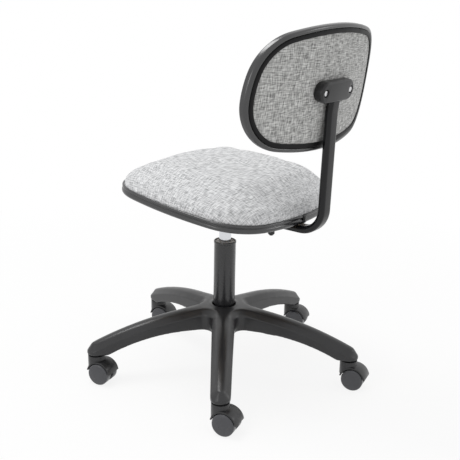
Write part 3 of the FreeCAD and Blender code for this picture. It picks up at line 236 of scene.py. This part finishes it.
def ring_mesh(name, rows, closed=True):
    """A tube through rows of points, each row a closed section; an open tube has its two ends filled."""
    mesh = bpy.data.meshes.new(name)
    width = len(rows[0])
    verts = [p for row in rows for p in row]
    faces = []
    for i in range(len(rows) if closed else len(rows) - 1):
        j = (i + 1) % len(rows)
        for k in range(width):
            m = (k + 1) % width
            faces.append((i * width + k, j * width + k, j * width + m, i * width + m))
    if not closed:
        faces += [tuple(range(width)), tuple(range(len(verts) - width, len(verts)))]
    mesh.from_pydata(verts, [], faces)
    work = bmesh.new()
    work.from_mesh(mesh)
    bmesh.ops.recalc_face_normals(work, faces=work.faces)
    work.to_mesh(mesh)
    work.free()
    shade_smooth(mesh)
    return mesh


def make_seat_trim():
    """Extruded edge strip with two beads and a groove between them; its section is in millimetres."""
    points, normals = outline_of("seat_trim", SEAT_FRAME.inverted(), 0, 1, 220)
    profile = [(-14, 0.2), (-9, 0.0)]
    profile += arc_points((-6.2, 6.3), 6.2, -95, 58, 14)
    profile += [(-3.6, 12.8)]
    profile += arc_points((-3.5, 16.2), 3.2, -75, 100, 12)
    profile += [(-4.5, 19.0), (-4.5, 2.2), (-14, 2.2)]
    rows = []
    for point, normal in zip(points, normals):
        row = []
        for out, up in profile:
            flat = point + normal * (out * MM)
            row.append(SEAT_FRAME @ Vector((flat.x, flat.y, up * MM)))
        rows.append(row)
    piece = new_object("seat_edge_strip", ring_mesh("seat_edge_strip", rows), "seat_unit", "trim_plastic")
    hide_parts("seat_trim")
    return piece


def make_trim_clip_painted_shade():
    """Small clip over the joint of the seat's edge strip, at the middle of the rear. Its dark face also
    stands in for the back bar's shadow on the trim there: painted shade.
    """
    half_width = 6.5
    points, _ = outline_of("seat_trim", SEAT_FRAME.inverted(), 0, 1, 220)
    middle = min((point for point in points if point.y > 0), key=lambda point: abs(point.x))
    profile = [(-10, -1.4)] + arc_points((-6.2, 6.3), 7.7, -95, 0, 10) + [(1.5, 12)]
    profile += arc_points((-0.6, 17.4), 2.1, 0, 90, 5) + [(-3.6, 19.4)]
    inner = [(-3.8, 18.6), (-1.2, 17.6), (0.3, 14)] + arc_points((-6.2, 6.3), 6.5, 0, -95, 10) + [(-10, -0.2)]
    rows = []
    for side, shrink in ((-1, 0.5), (-0.86, 0), (0.86, 0), (1, 0.5)):
        row = []
        for out, up in profile + inner:
            flat = Vector((side * half_width * MM, middle.y + (out - shrink) * MM))
            row.append(SEAT_FRAME @ Vector((flat.x, flat.y, up * MM)))
        rows.append(row)
    return new_object("trim_clip_painted_shade", ring_mesh("trim_clip_painted_shade", rows, closed=False), "seat_unit", "dark_plastic")


def on_back(flat, rear):
    """A point of the backrest's outline plane, laid on its curve and moved to the rear."""
    sag = math.sqrt(BACK_CURVE ** 2 - flat.x ** 2) - BACK_CURVE
    return BACK_FRAME @ Vector((flat.x, sag + rear, flat.y))


def make_back_trim():
    """Moulded edge of the backrest: flat lip behind, a groove, a bead, and a deep outer wall.

    Its front edge reaches in to the pad, which lies further in at the sides. The lip is a piece of
    its own, so that it can take a darker copy of the trim's material: painted shade on the lip. The
    sections are in millimetres."""
    points, normals = outline_of("back_trim", BACK_FRAME.inverted(), 0, 2, 240)
    lip = [(-18, 0.5), (-17.8, 1.6), (-17, 2.3), (-10.2, 2.6), (-9.4, 2.4), (-9.0, 1.2), (-9.2, 0.3)]
    profile = [(-8.9, 0.1), (-8.8, 0.9), (-8.5, 1.0)]
    profile += arc_points((-5.6, 0.1), 2.9, 160, 60, 6)
    profile += arc_points((-5.2, -2.4), 5.2, 68, 0, 8)
    profile += arc_points((-5, -8.5), 5, 0, -90, 8)
    front = [(-13, -13.1), (-14, -12.4), (-13.6, -11.2)]
    profile += [(-9, -13.5)] + front + [(-8, -10.9), (-8, 0.2)]
    cushion = nodes["back_cushion"].data
    pad = BVHTree.FromPolygons([v.co for v in cushion.vertices], [f.vertices for f in cushion.polygons])
    pieces = []
    for name, section in (("back_edge_strip", profile), ("back_edge_lip", lip)):
        rows = []
        for point, normal in zip(points, normals):
            edge = [on_back(point + normal * (out * MM), rear * MM) for out, rear in front]
            gap = min(pad.find_nearest(place)[3] for place in edge)
            row = []
            for out, rear in section:
                inward = gap - PAD_CLEARANCE * MM if (out, rear) in front else 0
                row.append(on_back(point + normal * (out * MM - inward), rear * MM))
            rows.append(row)
        pieces.append(new_object(name, ring_mesh(name, rows), "back_unit", "trim_plastic"))
    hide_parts("back_trim")
    return pieces


def make_cushion(source, name, body, slot, to_local, held, bulge, cap):
    """A foam pad in cloth: remeshed, blown up a little with the held part fixed, and smoothed."""
    mesh = cad_copy(source, name)
    piece = new_object(name, mesh, body, slot)
    remesh = piece.modifiers.new("voxels", "REMESH")
    remesh.mode = "VOXEL"
    remesh.voxel_size = PAD_VOXEL
    settle(piece)
    start = [v.co.copy() for v in piece.data.vertices]
    pinned = piece.vertex_groups.new(name="held")
    for index, point in enumerate(start):
        pinned.add([index], held(to_local @ point), "REPLACE")
    simulate(piece, "held")
    for vertex, before in zip(piece.data.vertices, start):
        move = vertex.co - before
        if move.length > cap:
            vertex.co = before + move * (cap / move.length)
    normals = [v.normal.copy() for v in piece.data.vertices]
    places = [v.co + normal * bulge(to_local @ before)
              for v, normal, before in zip(piece.data.vertices, normals, start)]
    piece.data.vertices.foreach_set("co", [number for place in places for number in place])
    piece.data.update()
    piece.vertex_groups.clear()
    tied = piece.vertex_groups.new(name="tied")
    free = piece.vertex_groups.new(name="free")
    for index, point in enumerate(start):
        hold = held(to_local @ point)
        tied.add([index], hold, "REPLACE")
        free.add([index], 1 - hold, "REPLACE")
    relax = piece.modifiers.new("relax", "SMOOTH")
    relax.factor = 0.5
    relax.iterations = 6
    relax.vertex_group = "free"
    finer = piece.modifiers.new("finer", "SUBSURF")
    finer.levels = finer.render_levels = 1
    seated = piece.modifiers.new("seated", "SHRINKWRAP")
    seated.target = nodes[source]
    seated.vertex_group = "tied"
    settle(piece)
    shade_smooth(piece.data)
    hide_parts(source)
    return piece


def seat_held(point):
    """1 where the seat's pad is fixed to its board and trim, else 0."""
    return 1.0 if point.z < SEAT_HELD else 0.0


def back_held(point):
    """1 where the backrest's pad is fixed to its board and trim, else 0."""
    sag = math.sqrt(BACK_CURVE ** 2 - point.x ** 2) - BACK_CURVE
    return 1.0 if point.y - sag > BACK_HELD else 0.0


def seat_bulge(point):
    """How far the seat's sides are filled out, most at half their height."""
    rise = (point.z - SEAT_HELD) / (SEAT_CROWN - SEAT_HELD)
    return SEAT_FILL * math.sin(math.pi * min(1, max(0, rise)))


def no_bulge(point):
    return 0.0


def simulate(piece, group):
    """Cloth under light pressure, with no gravity, and its result kept as the shape."""
    scene = bpy.context.scene
    cloth = piece.modifiers.new("cloth", "CLOTH")
    cloth.settings.use_pressure = True
    cloth.settings.uniform_pressure_force = PAD_PRESSURE
    cloth.settings.effector_weights.gravity = 0
    cloth.settings.vertex_group_mass = group
    cloth.settings.quality = 5
    for number in range(1, PAD_FRAMES + 1):
        scene.frame_set(number)
    settle(piece)
    scene.frame_set(1)


# Materials

def new_material(name):
    """A material with its Principled shader and a place to add nodes."""
    material = bpy.data.materials.new(name)
    material.use_nodes = True
    tree = material.node_tree
    return material, tree, tree.nodes["Principled BSDF"]


def node(tree, kind, values=None, **options):
    made = tree.nodes.new(kind)
    for key, value in options.items():
        setattr(made, key, value)
    for key, value in (values or {}).items():
        made.inputs[key].default_value = value
    return made


def ramp(tree, source, stops):
    """Colour ramp through (position, grey or colour) stops."""
    made = node(tree, "ShaderNodeValToRGB")
    elements = made.color_ramp.elements
    while len(elements) < len(stops):
        elements.new(0.5)
    for element, (position, colour) in zip(elements, stops):
        element.position = position
        element.color = (*colour, 1)
    tree.links.new(source, made.inputs["Fac"])
    return made.outputs["Color"]


def noise(tree, scale, stretch=(1, 1, 1), detail=2):
    """Noise in the object's own space, stretched along its axes."""
    place = node(tree, "ShaderNodeTexCoord")
    mapping = node(tree, "ShaderNodeMapping")
    mapping.inputs["Scale"].default_value = stretch
    made = node(tree, "ShaderNodeTexNoise", {"Scale": scale, "Detail": detail, "Roughness": 0.55})
    tree.links.new(place.outputs["Object"], mapping.inputs["Vector"])
    tree.links.new(mapping.outputs["Vector"], made.inputs["Vector"])
    return made.outputs["Fac"]


def math_node(tree, operation, *terms):
    made = node(tree, "ShaderNodeMath", operation=operation)
    for place, term in enumerate(terms):
        if isinstance(term, (int, float)):
            made.inputs[place].default_value = term
        else:
            tree.links.new(term, made.inputs[place])
    return made.outputs[0]


def add_bump(tree, shader, height, strength, distance, edge=0):
    bump = node(tree, "ShaderNodeBump", {"Strength": strength, "Distance": distance})
    tree.links.new(height, bump.inputs["Height"])
    if edge:
        rounded = node(tree, "ShaderNodeBevel", {"Radius": edge}, samples=6)
        tree.links.new(rounded.outputs["Normal"], bump.inputs["Normal"])
    tree.links.new(bump.outputs["Normal"], shader.inputs["Normal"])


def moulded(name, colour, roughness, grain=900, strength=0.12, specular=0.5, edge=0):
    """Moulded plastic or paint: faint cloudy colour, uneven gloss, a fine grain, and rounded edges where an
    edge radius is given.
    """
    material, tree, shader = new_material(name)
    shader.inputs["Specular IOR Level"].default_value = specular
    cloud = noise(tree, 14, detail=4)
    darker = tuple(c * 0.82 for c in colour)
    lighter = tuple(min(1, c * 1.2) for c in colour)
    tree.links.new(ramp(tree, cloud, [(0.3, darker), (0.7, lighter)]), shader.inputs["Base Color"])
    gloss = ramp(tree, noise(tree, 40, detail=3),
                 [(0.3, (roughness * 0.9,) * 3), (0.7, (roughness * 1.12,) * 3)])
    tree.links.new(gloss, shader.inputs["Roughness"])
    add_bump(tree, shader, noise(tree, grain), strength, 0.0002, edge)
    return material


def metal(name, colour, roughness, stretch=(1, 1, 0.05)):
    """Bright metal with fine turning marks."""
    material, tree, shader = new_material(name)
    shader.inputs["Metallic"].default_value = 1
    marks = noise(tree, 700, stretch)
    lighter = tuple(min(1, c * 1.06) for c in colour)
    tree.links.new(ramp(tree, marks, [(0.3, colour), (0.7, lighter)]), shader.inputs["Base Color"])
    gloss = ramp(tree, marks, [(0.3, (roughness,) * 3), (0.7, (roughness * 1.3,) * 3)])
    tree.links.new(gloss, shader.inputs["Roughness"])
    return material


def seat_ways(tree):
    """Two ways of the seat's cloth, in its own frame, with the sides laid flat round the top."""
    place = node(tree, "ShaderNodeTexCoord")
    level = node(tree, "ShaderNodeMapping", vector_type="TEXTURE")
    level.inputs["Location"].default_value = (0, 0, SEAT_HEIGHT)
    level.inputs["Rotation"].default_value = (math.radians(-SEAT_TILT), 0, 0)
    point = node(tree, "ShaderNodeSeparateXYZ")
    tree.links.new(place.outputs["Object"], level.inputs["Vector"])
    tree.links.new(level.outputs["Vector"], point.inputs["Vector"])
    x, y, z = (point.outputs[axis] for axis in "XYZ")
    reach = math_node(tree, "SQRT", math_node(tree, "ADD", math_node(tree, "MULTIPLY", x, x),
                                              math_node(tree, "MULTIPLY", y, y)))
    fall = math_node(tree, "SUBTRACT", SEAT_CROWN, z)
    spread = math_node(tree, "ADD", 1, math_node(tree, "DIVIDE", fall, math_node(tree, "ADD", reach, 0.01)))
    return [math_node(tree, "MULTIPLY", way, spread) for way in (x, y)]


def back_ways(tree):
    """Two ways of the backrest's cloth: across and up."""
    place = node(tree, "ShaderNodeTexCoord")
    point = node(tree, "ShaderNodeSeparateXYZ")
    tree.links.new(place.outputs["Object"], point.inputs["Vector"])
    return [point.outputs["X"], point.outputs["Z"]]


def threads(tree, ways, scale, length):
    """Threads both ways, each thicker and thinner along its run; their mean."""
    total = None
    for layer, (along, across) in enumerate((ways, ways[::-1])):
        place = node(tree, "ShaderNodeCombineXYZ", {"Z": layer * WAY_OFFSET})
        tree.links.new(math_node(tree, "DIVIDE", along, length), place.inputs["X"])
        tree.links.new(across, place.inputs["Y"])
        slubs = node(tree, "ShaderNodeTexNoise", {"Scale": scale, "Detail": 1, "Roughness": 0.5})
        tree.links.new(place.outputs["Vector"], slubs.inputs["Vector"])
        way = slubs.outputs["Fac"]
        total = way if total is None else math_node(tree, "ADD", total, way)
    return math_node(tree, "MULTIPLY", total, 0.5)


def slub_weave(name, dark, mid, light, cloth_ways):
    """Linen-look cloth of mixed yarns: long slubs both ways over a finer plain weave."""
    material, tree, shader = new_material(name)
    ways = cloth_ways(tree)
    slubs = threads(tree, ways, SLUB_SCALE, SLUB_LENGTH)
    fine = threads(tree, ways, FINE_SCALE, FINE_LENGTH)
    yarn = math_node(tree, "ADD", math_node(tree, "MULTIPLY", slubs, SLUB_SHARE),
                     math_node(tree, "MULTIPLY", fine, FINE_SHARE))
    colour = ramp(tree, yarn, [(0.4, dark), (0.5, mid), (0.6, light)])
    tree.links.new(colour, shader.inputs["Base Color"])
    shader.inputs["Roughness"].default_value = 0.92
    shader.inputs["Specular IOR Level"].default_value = 0.15
    shader.inputs["Sheen Weight"].default_value = 0.12
    shader.inputs["Sheen Roughness"].default_value = 0.5
    add_bump(tree, shader, yarn, 0.5, 0.0012)
    return material


def wood_ply(name):
    """Raw plywood with its grain."""
    material, tree, shader = new_material(name)
    grain = noise(tree, 30, (1, 0.15, 6), detail=6)
    tree.links.new(ramp(tree, grain, [(0.35, (0.35, 0.24, 0.13)), (0.65, (0.55, 0.41, 0.25))]),
                   shader.inputs["Base Color"])
    shader.inputs["Roughness"].default_value = 0.6
    add_bump(tree, shader, grain, 0.1, 0.0003)
    return material


def paint_slots(materials):
    """Gives every CAD node the material of its slot, and merges its flat faces."""
    slot_of = {part["node"]: part["material_slot"] for part in frame["record"]["subparts"]}
    for name, piece in nodes.items():
        piece.data.materials.clear()
        piece.data.materials.append(materials[slot_of[name]])
        weld = piece.modifiers.new("weld", "WELD")
        weld.merge_threshold = SAME_PLACE
        flat = piece.modifiers.new("flat_faces", "DECIMATE")
        flat.decimate_type = "DISSOLVE"
        flat.angle_limit = math.radians(0.5)


def smooth_nodes():
    """Rounds the sharp edges of the CAD nodes a little and shades their curves smooth."""
    for piece in nodes.values():
        edge = piece.modifiers.new("edge", "BEVEL")
        edge.width = EDGE_WIDTH
        edge.segments = 2
        edge.limit_method = "ANGLE"
        edge.angle_limit = math.radians(SHARP_ANGLE)
        shade_smooth(piece.data)
        bpy.context.view_layer.objects.active = piece
        for other in bpy.context.selected_objects:
            other.select_set(False)
        piece.select_set(True)
        bpy.ops.object.shade_auto_smooth(angle=math.radians(SHARP_ANGLE))


# Stage

def make_camera():
    """A camera at the photograph's viewing angle."""
    azimuth, yaw = math.radians(CAMERA_AZIMUTH), math.radians(CAMERA_YAW)
    pitch, roll = math.radians(CAMERA_PITCH), math.radians(CAMERA_ROLL)
    right = Vector((math.cos(azimuth), math.sin(azimuth), 0))
    away = Vector((-math.sin(azimuth), math.cos(azimuth), 0))
    up = Vector((0, 0, 1))
    forward = (right * math.sin(yaw) + away * math.cos(yaw)) * math.cos(pitch) + up * math.sin(pitch)
    level = right * math.cos(yaw) - away * math.sin(yaw)
    above = level.cross(forward)
    across = level * math.cos(roll) + above * math.sin(roll)
    upward = above * math.cos(roll) - level * math.sin(roll)
    data = bpy.data.cameras.new("camera")
    data.lens = CAMERA_LENS
    data.sensor_width = 36
    camera = bpy.data.objects.new("camera", data)
    turn = Matrix((across, upward, -forward)).transposed().to_4x4()
    camera.matrix_world = Matrix.Translation(up * CAMERA_HEIGHT - away * CAMERA_DISTANCE) @ turn
    bpy.context.scene.collection.objects.link(camera)
    bpy.context.scene.camera = camera


def direct_view(tree):
    """1 for what the camera sees directly, in a reflection or through glass."""
    path = node(tree, "ShaderNodeLightPath")
    seen = math_node(tree, "MAXIMUM", path.outputs["Is Camera Ray"], path.outputs["Is Glossy Ray"])
    return math_node(tree, "MAXIMUM", seen, path.outputs["Is Transmission Ray"])


def make_floor():
    """A white floor that keeps a faint shadow near the chair and is plain white further out."""
    mesh = bpy.data.meshes.new("floor")
    reach = 6
    near, far = 0.6, 1.5
    near_white, far_white = 0.86, 1.0
    corners = [(-reach, -reach, 0), (reach, -reach, 0), (reach, reach, 0), (-reach, reach, 0)]
    mesh.from_pydata(corners, [], [(0, 1, 2, 3)])
    floor = bpy.data.objects.new("floor", mesh)
    bpy.context.scene.collection.objects.link(floor)
    material, tree, shader = new_material("floor_white")
    shader.inputs["Base Color"].default_value = (1, 1, 1, 1)
    shader.inputs["Roughness"].default_value = 1
    shader.inputs["Specular IOR Level"].default_value = 0
    white = node(tree, "ShaderNodeEmission", {"Color": (1, 1, 1, 1), "Strength": 1})
    mix = node(tree, "ShaderNodeMixShader")
    place = node(tree, "ShaderNodeNewGeometry")
    away = node(tree, "ShaderNodeVectorMath", operation="LENGTH")
    tree.links.new(place.outputs["Position"], away.inputs[0])
    fade = node(tree, "ShaderNodeMapRange", {1: near, 2: far, 3: near_white, 4: far_white})
    tree.links.new(away.outputs["Value"], fade.inputs[0])
    tree.links.new(math_node(tree, "MULTIPLY", direct_view(tree), fade.outputs[0]), mix.inputs["Fac"])
    tree.links.new(shader.outputs["BSDF"], mix.inputs[1])
    tree.links.new(white.outputs["Emission"], mix.inputs[2])
    tree.links.new(mix.outputs["Shader"], tree.nodes["Material Output"].inputs["Surface"])
    mesh.materials.append(material)


def make_world(strength):
    """Even light from all sides, before a white background."""
    world = bpy.data.worlds.new("studio")
    bpy.context.scene.world = world
    world.use_nodes = True
    tree = world.node_tree
    light = tree.nodes["Background"]
    light.inputs["Color"].default_value = (1, 1, 1, 1)
    light.inputs["Strength"].default_value = strength
    white = node(tree, "ShaderNodeBackground", {"Color": (1, 1, 1, 1), "Strength": 1})
    mix = node(tree, "ShaderNodeMixShader")
    tree.links.new(direct_view(tree), mix.inputs["Fac"])
    tree.links.new(light.outputs["Background"], mix.inputs[1])
    tree.links.new(white.outputs["Background"], mix.inputs[2])
    tree.links.new(mix.outputs["Shader"], tree.nodes["World Output"].inputs["Surface"])


def make_lamp(name, place, aim, size, power):
    """A square soft lamp, aimed at a point."""
    data = bpy.data.lights.new(name, "AREA")
    data.shape = "SQUARE"
    data.size = size
    data.energy = power
    lamp = bpy.data.objects.new(name, data)
    lamp.location = place
    lamp.rotation_euler = (Vector(aim) - Vector(place)).to_track_quat("-Z", "Y").to_euler()
    bpy.context.scene.collection.objects.link(lamp)


# Build

MATERIALS = {
    "grey_nylon": moulded("grey_nylon", (0.022, 0.022, 0.0235), 0.32, specular=0.48),
    "wheel_nylon": moulded("wheel_nylon", (0.042, 0.043, 0.05), 0.3, specular=0.7),
    "black_paint": moulded("black_paint", (0.016, 0.016, 0.0178), 0.26, strength=0.05, specular=0.65),
    "black_gloss": moulded("black_gloss", (0.006, 0.006, 0.007), 0.22, strength=0.04, specular=0.3),
    "pale_plastic": moulded("pale_plastic", (0.6, 0.6, 0.6), 0.5),
    "dark_plastic": moulded("dark_plastic", (0.013, 0.013, 0.014), 0.32, specular=0.42, edge=0.002),
    "trim_plastic": moulded("trim_plastic", (0.014, 0.014, 0.0155), 0.25, specular=0.9),
    # A darker, duller copy of the trim plastic for the backrest's lip: painted shade.
    "trim_lip": moulded("trim_lip", (0.004, 0.004, 0.0045), 0.45, specular=0.16),
    "chrome_plate": metal("chrome_plate", (0.66, 0.67, 0.695), 0.15),
    "bright_steel": metal("bright_steel", (0.62, 0.62, 0.63), 0.3),
    "black_rubber": moulded("black_rubber", (0.015, 0.015, 0.015), 0.8),
    "plywood": wood_ply("plywood"),
    "seat_cloth": slub_weave("seat_cloth", (0.34, 0.345, 0.35), (0.67, 0.675, 0.685), (0.9, 0.905, 0.91),
                             seat_ways),
    # The backrest's cloth is darker than the seat's: in part the slot's darker grey, in part painted shade,
    # as the backrest is lit less than the seat.
    "back_cloth": slub_weave("back_cloth", (0.2, 0.2, 0.195), (0.46, 0.46, 0.45), (0.72, 0.72, 0.705),
                             back_ways),
}

paint_slots(MATERIALS)
pieces = [
    make_base(),
    make_seat_trim(),
    # The clip's dark face also stands in for the back bar's shadow on the trim: painted shade.
    make_trim_clip_painted_shade(),
    *make_back_trim(),
    make_cushion("seat_cushion", "seat_pad", "seat_unit", "seat_cloth", SEAT_FRAME.inverted(),
                 seat_held, seat_bulge, SEAT_SWELL),
    make_cushion("back_cushion", "back_pad", "back_unit", "back_cloth", BACK_FRAME.inverted(),
                 back_held, no_bulge, BACK_SWELL),
]
for piece in pieces:
    piece.data.materials.clear()
    # The backrest's lip gets the darker copy of the trim plastic: painted shade.
    look = "trim_lip" if piece.name == "back_edge_lip" else piece["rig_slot"]
    piece.data.materials.append(MATERIALS[look])
smooth_nodes()

make_camera()
make_floor()
make_world(0.6)
make_lamp("top_lamp", (0.3, -0.7, 2.6), (0, 0, 0.4), 1.0, 23)
make_lamp("side_lamp", (2.5, -0.2, 1.1), (0, 0, 0.5), 0.7, 6)
make_lamp("rear_lamp", (-1.6, 2.2, 1.6), (0, 0, 0.4), 0.6, 6)
bpy.context.scene.view_settings.view_transform = "Standard"
